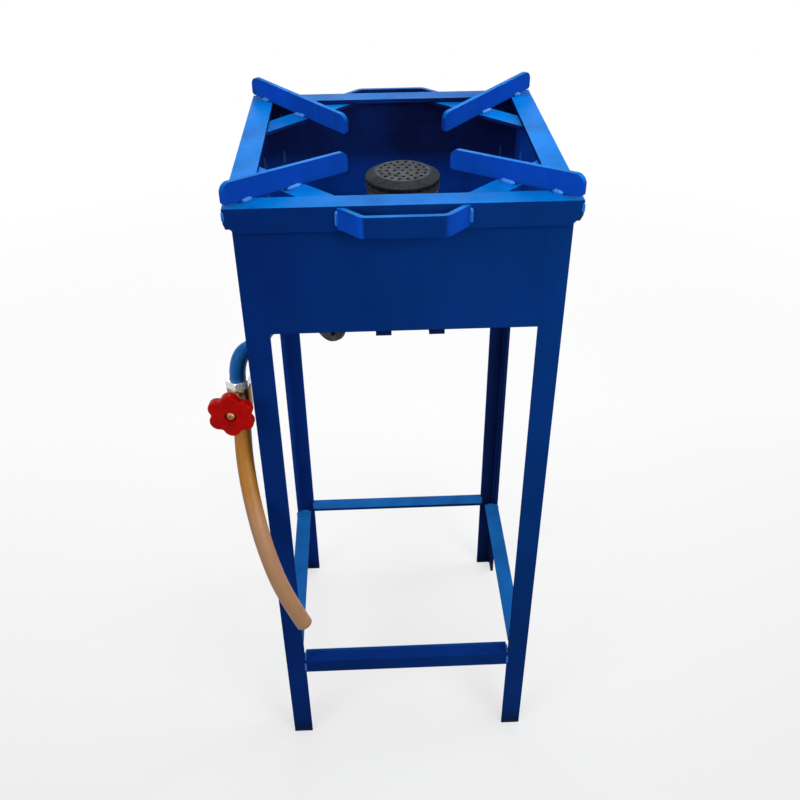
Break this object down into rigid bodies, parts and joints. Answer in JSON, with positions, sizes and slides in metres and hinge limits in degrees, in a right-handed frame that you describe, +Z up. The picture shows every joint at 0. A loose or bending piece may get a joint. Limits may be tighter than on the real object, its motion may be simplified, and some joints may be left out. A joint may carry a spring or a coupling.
{
  "type": "chinese burner stove",
  "caption": "Free-standing gas stove: tall square angle-steel stand with skirt, sloping corner pot supports, carrying handles, round cast burner, red valve knob and gas hose.",
  "frame": {"origin": "on the floor, under the middle of the whole object's outline without its gas hose", "axes": "+Z up, -Y towards the front, the side that the knob is on, +X to the right of someone in front"},
  "size_m": [0.2846, 0.3096, 0.6277],
  "materials": {
    "blue_enamel": "glossy blue enamel brushed over welded steel",
    "cast_iron": "dark sand-cast surface",
    "burner_iron": "grey, heat-stained cast surface",
    "zinc_steel": "bright zinc plate",
    "brass": "turned brass",
    "red_plastic": "moulded red plastic",
    "hose_rubber": "ochre gas hose, slightly glossy"
  },
  "bodies": {
    "stove": {"burner_bolts": "zinc_steel", "burner_casting": "cast_iron", "burner_nuts": "zinc_steel", "cross_bar_left": "blue_enamel", "cross_bar_right": "blue_enamel", "feed_pipe": "blue_enamel", "ferrule": "brass", "gas_hose": "hose_rubber", "gland_nut": "brass", "gusset_front_left": "blue_enamel", "gusset_front_right": "blue_enamel", "gusset_rear_left": "blue_enamel", "gusset_rear_right": "blue_enamel", "handle_front": "blue_enamel", "handle_rear": "blue_enamel", "hose_barb": "brass", "injector": "brass", "jet": "brass", "leg_front_left": "blue_enamel", "leg_front_right": "blue_enamel", "leg_rear_left": "blue_enamel", "leg_rear_right": "blue_enamel", "lock_nut": "zinc_steel", "pot_support_front_left": "blue_enamel", "pot_support_front_right": "blue_enamel", "pot_support_rear_left": "blue_enamel", "pot_support_rear_right": "blue_enamel", "rail_front": "blue_enamel", "rail_left": "blue_enamel", "rail_rear": "blue_enamel", "rail_right": "blue_enamel", "rim_front": "blue_enamel", "rim_left": "blue_enamel", "rim_rear": "blue_enamel", "rim_right": "blue_enamel", "skirt_front": "blue_enamel", "skirt_left": "blue_enamel", "skirt_rear": "blue_enamel", "skirt_right": "blue_enamel", "union_nut": "zinc_steel", "valve_body": "brass"},
    "valve_stem": {"knob": "red_plastic", "knob_screw": "brass", "valve_spindle": "brass"},
    "valve_plug": {"valve_needle": "brass"},
    "shutter": {"air_shutter": "cast_iron"},
    "head": {"burner_head": "burner_iron"}
  },
  "joints": [
    {"name": "knob_turn", "type": "hinge", "parent": "stove", "child": "valve_stem", "pos_m": [-0.12097, -0.0996, 0.437], "axis": [-0.1045, -0.9945, 0], "range_deg": [0, 720]},
    {"name": "needle_travel", "type": "slide", "parent": "valve_stem", "child": "valve_plug", "axis": [-0.1045, -0.9945, 0], "range_m": [0, 0.002]},
    {"name": "air_shutter_turn", "type": "hinge", "parent": "stove", "child": "shutter", "pos_m": [-0.0503, -0.0495, 0.482], "axis": [-0.8158, -0.5783, 0], "range_deg": [0, 60]},
    {"name": "head_lift", "type": "slide", "parent": "stove", "child": "head", "axis": [0, 0, 1], "range_m": [0, 0.03]}
  ],
  "couplings": [
    {"joint": "needle_travel", "follows": "knob_turn", "m_per_rad": 0.00015915}
  ]
}
